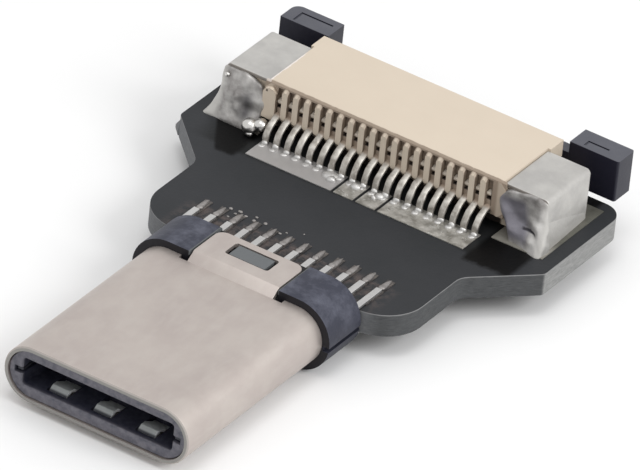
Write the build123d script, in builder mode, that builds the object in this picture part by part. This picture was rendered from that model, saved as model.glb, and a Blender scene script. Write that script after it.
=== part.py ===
"""A small adapter: a drawn-steel USB-C plug straddling a black board that carries a 20-way ribbon connector.

Frame: the origin is the centre of the plug's mouth. +X runs across the plug, +Y from the mouth towards the
ribbon connector, +Z up, out of the board's component side. Millimetres.
"""
import os

from build123d import *

# Plug shell, drawn from sheet
plug_width = 8.25
plug_height = 2.40
shell_wall = 0.18
shell_length = 8.95
mouth_chamfer = 0.06
tab_width = 3.84
tab_reach = 1.98
tab_lift = 0.30
tab_ramp = 0.42
tab_corner = 0.40
tab_root = 0.22
tab_clearance = 0.08
notch_width = 0.40
window_width = 1.94
window_length = 0.86
window_start = 0.80
window_corner = 0.12
window_play = 0.17

# Moulded collar behind the shell
collar_width = 8.90
collar_height = 3.00
collar_length = 2.25
collar_chamfer = 0.12
collar_groove_height = 0.20
collar_groove_depth = 0.28
collar_groove_centre = -0.16
spigot_length = 0.75

# Insulators inside the shell
slip = 0.03
nose_recess = 0.10
nose_end = 5.20
nose_end_wall = 0.565
nose_wall = 0.41
cavity_corner = 0.12
carrier_gap = 0.01

# Plug contacts, twelve above and twelve below
contact_ways = 12
contact_pitch = 0.50
contact_width = 0.22
contact_thickness = 0.12
contact_front = 1.90
contact_bump = 0.155
bump_rise = 0.35
bump_crest = 0.20
bump_length = 1.00
fan_lead = 0.45
fan_run = 1.90
tail_pitch = 0.75
tail_width = 0.26
tail_reach = 1.55
tail_solder_top = 0.11
tail_solder_knee = 0.05

# Springs and latch
spring_thickness = 0.10
spring_margin = 0.05
spring_start = 1.70
spring_end = 4.60
finger_spacing = 1.98
finger_width = 0.78
finger_tip = 0.48
finger_ramp = 0.25
finger_crest = 0.25
finger_reach = 0.12
latch_thickness = 0.15
latch_arm_width = 0.28
latch_arm_front = 0.20
latch_hook = 0.30
latch_hook_place = 1.55
latch_reach = 0.65

# Board, which sits a little off the plug's centre line
board_thickness = 0.96
board_shift = -0.07
neck_width = 11.96
board_margin = 0.98
flare_start = 15.60
board_end = 23.55
front_corner = 1.80
rear_corner = 0.85
flare_radius = 0.80
wing_radius = 0.30
stub_length = 0.35
stub_reach = 0.40
stub_drop = 0.18
stub_lip = 0.15
pad_thickness = 0.035

# Pads
plug_pad_width = 0.34
plug_pad_setback = 0.40
plug_pad_length = 2.00
ribbon_pad_front = 17.25
ribbon_pad_rear = 18.50
ribbon_pad_gap = 0.13
pad_groups = (8, 2, 2, 8)
bracket_pad_front = 18.65
bracket_pad_rear = 23.00
bracket_pad_outer = 7.60

# Ribbon connector
ribbon_ways = 20
ribbon_pitch = 0.50
housing_front = 19.12
housing_rear = 23.10
housing_top = 2.76
housing_width = 10.90
housing_top_width = 10.62
housing_stand_off = 0.05
housing_chamfer = 0.08
lip_height = 1.14
lip_depth = 0.50
rib_width = 0.25
rib_proud = 0.12
rib_top = 2.66
rib_bottom = 1.08
rib_corner = 0.07
post_width = 0.60
post_corner = 0.24
slot_back = 20.00
slot_top = 2.52
slot_pocket = 0.18
mouth_width = 10.00
mouth_floor = 0.90
mouth_roof = 2.10
lead_in = 0.12

# Ribbon contacts
leg_toe = 18.08
foot_length = 0.20
foot_rise = 0.28
leg_thickness = 0.15
knee_run = 0.16
knee_height = 0.43
hip_run = 0.24
hip_height = 0.72
hip_top = 0.86
hole_bottom = 1.76
hole_top = 1.90
hole_depth = 0.22
nub_top = 2.02
fork_reach = 1.95
fork_beam = 0.19
fork_bump = 0.18
fork_upper_reach = 1.30
fork_upper_beam = 0.15
solder_toe = 0.22
solder_rise = 0.16

# Hold-down brackets
bracket_thickness = 0.16
bracket_front = 19.22
bracket_rear = 22.18
bracket_top = 2.68
bracket_outer = 7.30
bracket_foot = 1.10
bracket_bend = 0.20

# Solder at the brackets: each mass is lofted from its footprint to a smaller top inside the open front
mass_front = 18.68
mass_slope = 0.45
right_mass_foot = (6.05, 7.53)
right_mass_head = (5.62, 7.15)
right_mass_top = 2.00
left_mass_foot = (5.60, 7.70)
left_mass_head = (5.90, 7.38)
left_mass_top = 2.34
seam_width = 0.28
seam_height = 0.90
seam_taper = 0.25
# beads that ran down beside the left mass: x, y, height of the centre above the pad, radius
solder_beads = ((-5.68, 18.80, 0.33, 0.33), (-5.35, 18.78, 0.43, 0.20))
bead_sides = 8
bead_squash = 0.85
bead_taper = 35

# The housing's arms inside the brackets
arm_front = 19.34
arm_rear = 21.95
arm_bottom = 1.55

# Locking slider, drawn open
slider_travel = 1.15
slide_clearance = 0.05
tongue_tip = 21.70
tongue_thickness = 0.26
tongue_bottom = 1.62
bar_front = 23.55
bar_rear = 23.95
bar_top = 1.98
neck_bottom = 1.62
neck_top = 1.98
neck_inner = 4.85
neck_rear = 24.10
ear_outer = 7.71
ear_front = 23.50
ear_rear = 24.62
ear_bottom = 0.72
ear_top = 2.52
ear_edge = 0.10
ear_round = 0.38
mark_width = 0.09
mark_depth = 0.06
# the mark on each ear: x and y of its corner, then its length along X and along Y
left_mark = (-7.22, 24.27, 1.45, 0.65)
right_mark = (6.02, 24.02, 0.95, 0.35)

# Worked out from the sizes above
inner_width = plug_width - 2 * shell_wall
inner_height = plug_height - 2 * shell_wall
core_width = inner_width - 2 * slip
core_height = inner_height - 2 * slip
cavity_width = core_width - 2 * nose_end_wall
cavity_height = core_height - 2 * nose_wall
tab_top = plug_height / 2 + tab_lift
tab_under = tab_top - shell_wall
tab_end = shell_length + tab_reach
collar_end = shell_length + collar_length
spigot_start = shell_length - spigot_length
board_top = board_thickness / 2
pad_top = board_top + pad_thickness
contact_z = pad_top
board_front = collar_end
spring_width = core_width - core_height + spring_margin
fan_start = shell_length - fan_lead
fan_end = fan_start + fan_run
latch_end = shell_length + latch_reach
tail_end = collar_end + tail_reach
plug_pad_start = collar_end + plug_pad_setback
plug_pad_end = plug_pad_start + plug_pad_length
finger_places = (-finger_spacing, 0, finger_spacing)
board_width = 2 * (bracket_outer + board_margin)
ear_inner = housing_width / 2 + slide_clearance
arm_length = bracket_outer - bracket_thickness - slip - housing_width / 2


def across(y):
    """The plane square to the plug's axis at y: sketch x is X, sketch y is Z; a negative amount goes to +Y."""
    return Plane.XZ.offset(-y)


def row(ways, pitch):
    """Places along X of a centred row."""
    return [(number - (ways - 1) / 2) * pitch for number in range(ways)]


# Shell: a stadium tube, with a raised, windowed locking tab behind its upper and lower walls
with BuildPart() as shell:
    with BuildSketch(across(0)):
        SlotOverall(plug_width, plug_height)
        SlotOverall(inner_width, inner_height, mode=Mode.SUBTRACT)
    extrude(amount=-shell_length)
    chamfer(shell.faces().sort_by(Axis.Y)[0].outer_wire().edges(), mouth_chamfer)
    with BuildSketch(Plane.XY.offset(plug_height / 2 - 2 * shell_wall)):
        for side in (-1, 1):
            with Locations((side * (tab_width + notch_width) / 2, shell_length)):
                Rectangle(notch_width, 2 * tab_root)
    extrude(amount=4 * shell_wall, mode=Mode.SUBTRACT)
    with BuildSketch(Plane.YZ):
        with BuildLine():
            Polyline(
                (shell_length - 2 * tab_root, plug_height / 2 - shell_wall),
                (shell_length - 2 * tab_root, plug_height / 2),
                (shell_length - tab_root, plug_height / 2),
                (shell_length - tab_root + tab_ramp, tab_top),
                (tab_end, tab_top),
                (tab_end, tab_under),
                (shell_length - tab_root + tab_ramp + shell_wall / 2, tab_under),
                (shell_length - tab_root + shell_wall / 2, plug_height / 2 - shell_wall),
                close=True,
            )
        make_face()
    extrude(amount=tab_width / 2, both=True)
    fillet(shell.edges().filter_by(Axis.Z).group_by(Axis.Y)[-1], tab_corner)
    with BuildSketch(Plane.XY.offset(tab_under - shell_wall)):
        with Locations((0, shell_length + window_start + window_length / 2)):
            RectangleRounded(window_width, window_length, window_corner)
    extrude(amount=3 * shell_wall, mode=Mode.SUBTRACT)
    split(bisect_by=Plane.XY)
    mirror(about=Plane.XY)
shell.part.label = "shell"

# Upper contacts: a straight strip with a bowed tip, which fans out to the wider pitch of its tail
with BuildPart() as upper_contacts:
    with BuildSketch(Plane.XY.offset(contact_z)):
        for near, far in zip(row(contact_ways, contact_pitch), row(contact_ways, tail_pitch)):
            with BuildLine():
                Polyline(
                    (near - contact_width / 2, contact_front),
                    (near - contact_width / 2, fan_start),
                    (far - tail_width / 2, fan_end),
                    (far - tail_width / 2, tail_end),
                    (far + tail_width / 2, tail_end),
                    (far + tail_width / 2, fan_end),
                    (near + contact_width / 2, fan_start),
                    (near + contact_width / 2, contact_front),
                    close=True,
                )
            make_face()
    extrude(amount=contact_thickness)
    for place in row(contact_ways, contact_pitch):
        with BuildSketch(Plane.YZ.offset(place)):
            with BuildLine():
                Polyline(
                    (contact_front, contact_z),
                    (contact_front + bump_rise, contact_z - contact_bump),
                    (contact_front + bump_rise + bump_crest, contact_z - contact_bump),
                    (contact_front + bump_length, contact_z),
                    (contact_front + bump_length, contact_z + contact_thickness),
                    (contact_front, contact_z + contact_thickness),
                    close=True,
                )
            make_face()
        extrude(amount=contact_width / 2, both=True)
upper_contacts.part.label = "upper_contacts"

# Lower contacts: the same row turned over
with BuildPart() as lower_contacts:
    add(upper_contacts.part.mirror(Plane.XY))
lower_contacts.part.label = "lower_contacts"

# Latch plate: a thin plate between the two carriers, with a hooked spring arm down each side of the cavity
arm_outer = cavity_width / 2 + slip + latch_arm_width
with BuildPart() as latch_plate:
    with BuildSketch(Plane.XY.offset(-latch_thickness / 2)):
        with BuildLine():
            Polyline(
                (0, nose_end),
                (arm_outer - latch_arm_width, nose_end),
                (arm_outer - latch_arm_width, latch_hook_place + latch_hook),
                (arm_outer - latch_arm_width - latch_hook, latch_hook_place),
                (arm_outer - latch_arm_width, latch_hook_place - latch_hook),
                (arm_outer - latch_arm_width, latch_arm_front),
                (arm_outer, latch_arm_front),
                (arm_outer, fan_start),
                (contact_ways * contact_pitch / 2, fan_start),
                (contact_ways * contact_pitch / 2, latch_end),
                (0, latch_end),
                close=True,
            )
        make_face()
        mirror(about=Plane.YZ)
    extrude(amount=latch_thickness)
latch_plate.part.label = "latch_plate"

# Upper ground spring: a plate between nose and shell, with three fingers that dip into the cavity
spring_top = core_height / 2
crest_z = cavity_height / 2 - finger_reach
crest_front = finger_tip + finger_ramp
crest_rear = crest_front + finger_crest
with BuildPart() as upper_ground_spring:
    with BuildSketch(Plane.XY.offset(spring_top - spring_thickness)):
        with Locations((0, (spring_start + spring_end) / 2)):
            Rectangle(spring_width, spring_end - spring_start)
    extrude(amount=spring_thickness)
    for place in finger_places:
        with BuildSketch(Plane.YZ.offset(place)):
            with BuildLine():
                Polyline(
                    (spring_start + spring_thickness, spring_top),
                    (spring_start, spring_top),
                    (crest_rear - spring_thickness, crest_z + spring_thickness),
                    (finger_tip + spring_thickness, cavity_height / 2 + spring_thickness),
                    (finger_tip, cavity_height / 2 + spring_thickness / 2),
                    (crest_front, crest_z),
                    (crest_rear, crest_z),
                    (spring_start + spring_thickness, spring_top - spring_thickness),
                    close=True,
                )
            make_face()
        extrude(amount=finger_width / 2, both=True)
upper_ground_spring.part.label = "upper_ground_spring"

with BuildPart() as lower_ground_spring:
    add(upper_ground_spring.part.mirror(Plane.XY))
lower_ground_spring.part.label = "lower_ground_spring"

# Nose: the front insulator, a sleeve round the cavity that the mating tongue enters
slot_depth = latch_arm_width + 2 * slip
with BuildPart() as nose:
    with BuildSketch(across(nose_recess)):
        SlotOverall(core_width, core_height)
        RectangleRounded(cavity_width, cavity_height, cavity_corner, mode=Mode.SUBTRACT)
    extrude(amount=-(nose_end - nose_recess))
    chamfer(nose.faces().sort_by(Axis.Y)[0].inner_wires()[0].edges(), cavity_corner / 2)
    # a slot along each side wall for the latch arm
    with BuildSketch(across(nose_recess)):
        for side in (-1, 1):
            with Locations((side * (cavity_width + slot_depth) / 2, 0)):
                Rectangle(slot_depth + slip, latch_thickness + 4 * slip)
    extrude(amount=-(nose_end - nose_recess), mode=Mode.SUBTRACT)
    # a seat for the spring plate on the outside, and a window for each finger
    with BuildSketch(Plane.XY.offset(spring_top - spring_thickness - slip)):
        with Locations((0, (spring_start + spring_end) / 2)):
            Rectangle(spring_width + 2 * slip, spring_end - spring_start + 2 * slip)
    extrude(amount=plug_height, mode=Mode.SUBTRACT)
    with BuildSketch(Plane.XY):
        for place in finger_places:
            with Locations((place, (finger_tip + spring_start) / 2)):
                Rectangle(finger_width + 4 * slip, spring_start - finger_tip + 4 * slip)
    extrude(amount=plug_height, mode=Mode.SUBTRACT)
    # a groove for each contact in the cavity's roof
    with BuildSketch(across(contact_front - slip)):
        for place in row(contact_ways, contact_pitch):
            with Locations((place, cavity_height / 2)):
                Rectangle(contact_width + 2 * slip, 2 * (contact_z + contact_thickness + slip - cavity_height / 2))
    extrude(amount=-nose_end, mode=Mode.SUBTRACT)
    split(bisect_by=Plane.XY)
    mirror(about=Plane.XY)
nose.part.label = "nose"

# Contact carriers: a moulded block above and below the latch plate, round the strips
with BuildPart() as upper_carrier:
    with BuildSketch(across(nose_end)):
        SlotOverall(core_width, core_height)
        Rectangle(plug_width, latch_thickness + 2 * carrier_gap, mode=Mode.SUBTRACT)
    extrude(amount=-(spigot_start - nose_end))
    split(bisect_by=Plane.XY)
    add(upper_contacts.part, mode=Mode.SUBTRACT)
upper_carrier.part.label = "upper_carrier"

with BuildPart() as lower_carrier:
    add(upper_carrier.part.mirror(Plane.XY))
lower_carrier.part.label = "lower_carrier"

# Collar: the moulded block behind the shell, with a spigot in the shell's rear and a pocket under each tab
pocket_floor = tab_under - slip
with BuildPart() as collar:
    with BuildSketch(across(shell_length)):
        SlotOverall(collar_width, collar_height)
    extrude(amount=-collar_length)
    chamfer(collar.faces().sort_by(Axis.Y)[-1].outer_wire().edges(), collar_chamfer)
    with BuildSketch(across(spigot_start)):
        SlotOverall(core_width, core_height)
    extrude(amount=-spigot_length)
    with BuildSketch(Plane.YZ):
        with BuildLine():
            Polyline(
                (shell_length - tab_root - slip, plug_height / 2 - shell_wall - slip),
                (shell_length - tab_root + shell_wall / 2, plug_height / 2 - shell_wall - slip),
                (shell_length - tab_root + tab_ramp + shell_wall / 2, pocket_floor),
                (collar_end + slip, pocket_floor),
                (collar_end + slip, collar_height),
                (shell_length - tab_root - slip, collar_height),
                close=True,
            )
        make_face()
    extrude(amount=tab_width / 2 + tab_clearance, both=True, mode=Mode.SUBTRACT)
    # the nub that the tab's window snaps over
    with BuildSketch(Plane.XY.offset(pocket_floor)):
        with Locations((0, shell_length + window_start + window_length / 2)):
            RectangleRounded(window_width - 2 * window_play, window_length - 4 * slip, window_corner / 2)
    extrude(amount=tab_top - pocket_floor - slip)
    split(bisect_by=Plane.XY)
    mirror(about=Plane.XY)
    # the parting groove along each side
    with BuildSketch(across(shell_length)):
        for side in (-1, 1):
            with Locations((side * collar_width / 2, collar_groove_centre)):
                Rectangle(2 * collar_groove_depth, collar_groove_height)
    extrude(amount=-collar_length, mode=Mode.SUBTRACT)
    add(upper_contacts.part, mode=Mode.SUBTRACT)
    add(lower_contacts.part, mode=Mode.SUBTRACT)
    add(latch_plate.part, mode=Mode.SUBTRACT)
collar.part.label = "collar"

# Board: a narrow neck at the plug, flaring at 45 degrees to the width of the ribbon connector
flare = (board_width - neck_width) / 2
left_side = board_shift - board_width / 2
with BuildPart() as board:
    with BuildSketch(Plane((board_shift, 0, -board_top))):
        with BuildLine():
            Polyline(
                (0, board_front),
                (neck_width / 2, board_front),
                (neck_width / 2, flare_start),
                (board_width / 2, flare_start + flare),
                (board_width / 2, board_end),
                (0, board_end),
            )
            mirror(about=Plane.YZ)
        make_face()
    extrude(amount=board_thickness)
    uprights = board.edges().filter_by(Axis.Z)
    fillet(uprights.group_by(Axis.Y)[0], front_corner)
    uprights = board.edges().filter_by(Axis.Z)
    fillet(uprights.group_by(Axis.Y)[-1], rear_corner)
    waist = board.edges().filter_by(Axis.Z).filter_by_position(Axis.Y, flare_start - slip, flare_start + slip)
    fillet(waist, flare_radius)
    shoulder_y = flare_start + flare
    shoulder = board.edges().filter_by(Axis.Z).filter_by_position(Axis.Y, shoulder_y - slip, shoulder_y + slip)
    fillet(shoulder, wing_radius)
    # the stub left on the left wing, where the board was snapped out of its panel: it carries on the flare
    stub_front = shoulder_y + stub_reach
    for stub_y, reach in ((shoulder_y, slip), (stub_front, stub_reach), (stub_front + stub_length, stub_reach)):
        with BuildSketch(across(stub_y)):
            with BuildLine():
                Polyline(
                    (left_side + slip, board_top - stub_drop),
                    (left_side + slip, -board_top),
                    (left_side - reach, -board_top),
                    (left_side - reach, stub_lip - board_top),
                    close=True,
                )
            make_face()
    loft(ruled=True)
board.part.label = "board"

# Pads under the plug's tails, and the solder that runs out behind each tail
with BuildPart() as upper_plug_pads:
    with BuildSketch(Plane.XY.offset(board_top)):
        for place in row(contact_ways, tail_pitch):
            with Locations((place, (plug_pad_start + plug_pad_end) / 2)):
                Rectangle(plug_pad_width, plug_pad_end - plug_pad_start)
    extrude(amount=pad_thickness)
upper_plug_pads.part.label = "upper_plug_pads"

with BuildPart() as lower_plug_pads:
    add(upper_plug_pads.part.mirror(Plane.XY))
lower_plug_pads.part.label = "lower_plug_pads"

with BuildPart() as upper_plug_solder:
    for place in row(contact_ways, tail_pitch):
        with BuildSketch(Plane.YZ.offset(place)):
            with BuildLine():
                Polyline(
                    (tail_end, pad_top),
                    (tail_end, pad_top + tail_solder_top),
                    ((tail_end + plug_pad_end) / 2, pad_top + tail_solder_knee),
                    (plug_pad_end, pad_top),
                    close=True,
                )
            make_face()
        extrude(amount=tail_width / 2, both=True)
upper_plug_solder.part.label = "upper_plug_solder"

with BuildPart() as lower_plug_solder:
    add(upper_plug_solder.part.mirror(Plane.XY))
lower_plug_solder.part.label = "lower_plug_solder"

# Ribbon contacts: stamped blades with a foot on the board, a leg up into the housing, and a spring fork
blade_thickness = ribbon_pitch - rib_width - 2 * carrier_gap
knee_y = leg_toe + knee_run
hip_y = housing_front - hip_run
stem_back = slot_back - slip
fork_floor = mouth_floor + slip
fork_roof = mouth_roof - slip
fork_tip = slot_back + fork_reach
lip_rear = housing_front + lip_depth + slip
with BuildPart() as ribbon_contacts:
    for place in row(ribbon_ways, ribbon_pitch):
        with BuildSketch(Plane.YZ.offset(place)):
            with BuildLine():
                Polyline(
                    (leg_toe, pad_top),
                    (leg_toe, pad_top + foot_rise),
                    (knee_y, pad_top + knee_height),
                    (hip_y, pad_top + hip_height),
                    (housing_front, pad_top + hip_top),
                    (housing_front, hole_bottom),
                    (housing_front + hole_depth, hole_bottom),
                    (housing_front + hole_depth, hole_top),
                    (housing_front, hole_top),
                    (housing_front, nub_top),
                    (housing_front + slot_pocket, fork_roof),
                    (slot_back + fork_upper_reach, fork_roof),
                    (slot_back + fork_upper_reach, fork_roof - fork_upper_beam),
                    (stem_back, fork_roof - fork_upper_beam),
                    (stem_back, fork_floor + fork_beam),
                    (fork_tip - fork_beam, fork_floor + fork_beam + fork_bump),
                    (fork_tip, fork_floor),
                    (lip_rear, fork_floor),
                    (lip_rear, lip_height + slip),
                    (housing_front, lip_height + slip),
                    (hip_y, pad_top + hip_height - leg_thickness),
                    (knee_y + leg_thickness, pad_top + knee_height - leg_thickness),
                    (leg_toe + foot_length, pad_top + foot_rise - leg_thickness),
                    (leg_toe + foot_length, pad_top),
                    close=True,
                )
            make_face()
        extrude(amount=blade_thickness / 2, both=True)
ribbon_contacts.part.label = "ribbon_contacts"

# Ribbon pads: the contacts land on four tinned pads, eight, two, two and eight ways wide
pad_edges = []
edge = -ribbon_ways * ribbon_pitch / 2
for ways in pad_groups:
    pad_edges.append((edge + ribbon_pad_gap / 2, edge + ways * ribbon_pitch - ribbon_pad_gap / 2))
    edge += ways * ribbon_pitch
with BuildPart() as ribbon_pads:
    with BuildSketch(Plane.XY.offset(board_top)):
        for low, high in pad_edges:
            with Locations(((low + high) / 2, (ribbon_pad_front + ribbon_pad_rear) / 2)):
                Rectangle(high - low, ribbon_pad_rear - ribbon_pad_front)
    extrude(amount=pad_thickness)
ribbon_pads.part.label = "ribbon_pads"

# Solder: a toe fillet in front of each of those feet
with BuildPart() as ribbon_solder:
    for place in row(ribbon_ways, ribbon_pitch):
        with BuildSketch(Plane.YZ.offset(place)):
            with BuildLine():
                Polyline(
                    (leg_toe - solder_toe, pad_top),
                    (leg_toe - solder_toe / 3, pad_top + solder_rise / 3),
                    (leg_toe, pad_top + solder_rise),
                    (leg_toe, pad_top),
                    close=True,
                )
            make_face()
        extrude(amount=blade_thickness / 2, both=True)
ribbon_solder.part.label = "ribbon_solder"

# Ribbon housing: a comb of ribs in front, a mouth for the ribbon behind, and a step at each end for a bracket
housing_floor = board_top + housing_stand_off
with BuildPart() as ribbon_housing:
    with BuildSketch(Plane.YZ):
        with BuildLine():
            Polyline(
                (housing_front, lip_height),
                (housing_front, housing_top - housing_chamfer),
                (housing_front + housing_chamfer, housing_top),
                (housing_rear, housing_top),
                (housing_rear, housing_floor),
                (housing_front + lip_depth, housing_floor),
                (housing_front + lip_depth, lip_height),
                close=True,
            )
        make_face()
    extrude(amount=housing_width / 2, both=True)
    with BuildSketch(Plane.XY.offset(bracket_top - bracket_thickness - slip)):
        for side in (-1, 1):
            with Locations((side * housing_width / 2, (bracket_front + bracket_rear) / 2)):
                Rectangle(housing_width - housing_top_width, bracket_rear - bracket_front + 2 * slip)
    extrude(amount=housing_top, mode=Mode.SUBTRACT)
    # the ribs of the comb, and a broader post at each end
    with BuildSketch(across(housing_front - rib_proud)):
        for place in row(ribbon_ways - 1, ribbon_pitch):
            with Locations((place, (rib_top + rib_bottom) / 2)):
                Rectangle(rib_width, rib_top - rib_bottom)
        chamfer(vertices(), rib_corner)
    extrude(amount=-(rib_proud + slip))
    with BuildSketch(across(housing_front - rib_proud)):
        for side in (-1, 1):
            with Locations((side * (housing_width - post_width) / 2, (rib_top + lip_height) / 2)):
                Rectangle(post_width, rib_top - lip_height)
        chamfer(vertices().group_by(Axis.Z)[-1], post_corner)
    extrude(amount=-(rib_proud + slip))
    # the ribbon's mouth, with a lead-in on its lower edge
    with BuildSketch(Plane.YZ):
        with BuildLine():
            Polyline(
                (slot_back, mouth_floor),
                (housing_rear - lead_in, mouth_floor),
                (housing_rear + lead_in, mouth_floor - 2 * lead_in),
                (housing_rear + lead_in, mouth_roof),
                (slot_back, mouth_roof),
                close=True,
            )
        make_face()
    extrude(amount=mouth_width / 2, both=True, mode=Mode.SUBTRACT)
    # a slot for each contact, shallow above the contact's head
    for place in row(ribbon_ways, ribbon_pitch):
        with BuildSketch(Plane.YZ.offset(place)):
            with BuildLine():
                Polyline(
                    (housing_front - slip, lip_height),
                    (housing_front + lip_depth, lip_height),
                    (housing_front + lip_depth, mouth_floor),
                    (slot_back, mouth_floor),
                    (slot_back, mouth_roof),
                    (housing_front + slot_pocket, mouth_roof),
                    (housing_front + slot_pocket, slot_top),
                    (housing_front - slip, slot_top + slot_pocket / 2),
                    close=True,
                )
            make_face()
        extrude(amount=(ribbon_pitch - rib_width) / 2, both=True, mode=Mode.SUBTRACT)
    # a notch in each end wall for the slider's neck
    notch_front = bar_front - slider_travel - slide_clearance
    notch_inner = neck_inner - slide_clearance
    notch_outer = housing_width / 2 + slip
    with BuildSketch(Plane.XY.offset(neck_bottom - slide_clearance)):
        for side in (-1, 1):
            with Locations((side * (notch_inner + notch_outer) / 2, (notch_front + housing_rear + slip) / 2)):
                Rectangle(notch_outer - notch_inner, housing_rear + slip - notch_front)
    extrude(amount=neck_top - neck_bottom + 2 * slide_clearance, mode=Mode.SUBTRACT)
    # an arm at each end that the bracket folds over
    with BuildSketch(Plane.XY.offset(arm_bottom)):
        for side in (-1, 1):
            with Locations((side * (housing_width / 2 + arm_length / 2), (arm_front + arm_rear) / 2)):
                Rectangle(arm_length, arm_rear - arm_front)
    extrude(amount=bracket_top - bracket_thickness - slip - arm_bottom)
ribbon_housing.part.label = "ribbon_housing"

# Slider: a tongue in the mouth, a bar behind it, and an ear at each end to push or pull by
with BuildPart() as slider:
    with BuildSketch(Plane.YZ):
        with BuildLine():
            Polyline(
                (tongue_tip, tongue_bottom + tongue_thickness / 3),
                (tongue_tip, tongue_bottom + tongue_thickness),
                (bar_front, tongue_bottom + tongue_thickness),
                (bar_front, bar_top),
                (bar_rear, bar_top),
                (bar_rear, tongue_bottom),
                (tongue_tip + tongue_thickness, tongue_bottom),
                close=True,
            )
        make_face()
    extrude(amount=mouth_width / 2 - slide_clearance, both=True)
    for side in (-1, 1):
        with BuildSketch(Plane.XY.offset(neck_bottom)):
            with Locations((side * (neck_inner + ear_inner) / 2, (bar_front + neck_rear) / 2)):
                Rectangle(ear_inner - neck_inner + 2 * slip, neck_rear - bar_front)
        extrude(amount=neck_top - neck_bottom)
        with BuildSketch(Plane.XY.offset(ear_bottom)):
            with Locations((side * (ear_inner + ear_outer) / 2, (ear_front + ear_rear) / 2)):
                Rectangle(ear_outer - ear_inner, ear_rear - ear_front)
        extrude(amount=ear_top - ear_bottom)
    outer_uprights = slider.edges().filter_by(Axis.Z).group_by(Axis.X)
    fillet(outer_uprights[0].sort_by(Axis.Y)[-1], ear_round)
    fillet(slider.edges().filter_by(Axis.Z).group_by(Axis.X)[-1], ear_edge)
    # the moulded L on the top of each ear
    for mark_x, mark_y, mark_along, mark_back in (left_mark, right_mark):
        with BuildSketch(Plane.XY.offset(ear_top - mark_depth)):
            with Locations((mark_x, mark_y)):
                Rectangle(mark_along, mark_width, align=(Align.MIN, Align.MAX))
                Rectangle(mark_width, mark_back, align=(Align.MIN, Align.MAX))
        extrude(amount=2 * mark_depth, mode=Mode.SUBTRACT)
slider.part.label = "slider"

# Hold-down brackets: a strip folded over the housing's end, down the outside and back along the board
with BuildPart() as right_bracket:
    with BuildSketch(across(bracket_front)):
        with BuildLine():
            Polyline(
                (housing_top_width / 2 + slip, bracket_top),
                (bracket_outer, bracket_top),
                (bracket_outer, pad_top),
                (bracket_outer - bracket_foot, pad_top),
                (bracket_outer - bracket_foot, pad_top + bracket_thickness),
                (bracket_outer - bracket_thickness, pad_top + bracket_thickness),
                (bracket_outer - bracket_thickness, bracket_top - bracket_thickness),
                (housing_top_width / 2 + slip, bracket_top - bracket_thickness),
                close=True,
            )
        make_face()
    extrude(amount=-(bracket_rear - bracket_front))
    outer_bends = right_bracket.edges().filter_by(Axis.Y).group_by(Axis.X)[-1]
    fillet(outer_bends, bracket_bend)
right_bracket.part.label = "right_bracket"

with BuildPart() as left_bracket:
    add(right_bracket.part.mirror(Plane.YZ))
left_bracket.part.label = "left_bracket"

# Bracket pads
bracket_pad_inner = housing_top_width / 2
with BuildPart() as right_bracket_pad:
    with BuildSketch(Plane.XY.offset(board_top)):
        with Locations(((bracket_pad_inner + bracket_pad_outer) / 2, (bracket_pad_front + bracket_pad_rear) / 2)):
            Rectangle(bracket_pad_outer - bracket_pad_inner, bracket_pad_rear - bracket_pad_front)
    extrude(amount=pad_thickness)
right_bracket_pad.part.label = "right_bracket_pad"

with BuildPart() as left_bracket_pad:
    add(right_bracket_pad.part.mirror(Plane.YZ))
left_bracket_pad.part.label = "left_bracket_pad"

# Bracket solder: a mass that climbs each bracket's open front, and a seam that thins out along its outside.
# The left mass is broader and taller, and two beads of solder ran down beside it
mass_rear = arm_front - slip
bracket_solders = []
for side, bracket, foot, head, mass_top, beads, label in (
    (1, right_bracket, right_mass_foot, right_mass_head, right_mass_top, (), "right_bracket_solder"),
    (-1, left_bracket, left_mass_foot, left_mass_head, left_mass_top, solder_beads, "left_bracket_solder"),
):
    with BuildPart() as bracket_solder:
        with BuildSketch(Plane.XY.offset(pad_top)):
            with Locations((side * sum(foot) / 2, (mass_front + mass_rear) / 2)):
                Rectangle(foot[1] - foot[0], mass_rear - mass_front)
        with BuildSketch(Plane.XY.offset(mass_top)):
            with Locations((side * sum(head) / 2, (mass_front + mass_slope + mass_rear) / 2)):
                Rectangle(head[1] - head[0], mass_rear - mass_front - mass_slope)
        loft()
        for seam_y, share in ((mass_front + slip, 1), (bracket_rear - slip, seam_taper)):
            with BuildSketch(across(seam_y)):
                with BuildLine():
                    Polyline(
                        (side * (bracket_outer - bracket_thickness / 2), pad_top),
                        (side * (bracket_outer + share * seam_width), pad_top),
                        (side * (bracket_outer + share * seam_width / 2), pad_top + share * seam_height / 3),
                        (side * (bracket_outer - bracket_thickness / 2), pad_top + share * seam_height),
                        close=True,
                    )
                make_face()
        loft()
        add(bracket.part, mode=Mode.SUBTRACT)
        for bead_x, bead_y, bead_height, bead_radius in beads:
            with BuildSketch(Plane.XY.offset(pad_top + bead_height)):
                with Locations((bead_x, bead_y)):
                    RegularPolygon(bead_radius, bead_sides)
            extrude(amount=bead_squash * bead_radius, both=True, taper=bead_taper)
    bracket_solder.part.label = label
    bracket_solders.append(bracket_solder)

pieces = [
    shell, collar, nose, upper_carrier, lower_carrier, upper_contacts, lower_contacts,
    upper_ground_spring, lower_ground_spring, latch_plate, board, upper_plug_pads, lower_plug_pads,
    upper_plug_solder, lower_plug_solder, ribbon_pads, ribbon_solder, ribbon_contacts, ribbon_housing,
    slider, left_bracket, right_bracket, left_bracket_pad, right_bracket_pad,
    *bracket_solders,
]
os.makedirs("parts", exist_ok=True)
for piece in pieces:
    export_step(piece.part, f"parts/{piece.part.label}.step")
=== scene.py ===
from math import radians
from random import Random

import bmesh
import bpy
from mathutils import Matrix, Vector, noise


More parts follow.
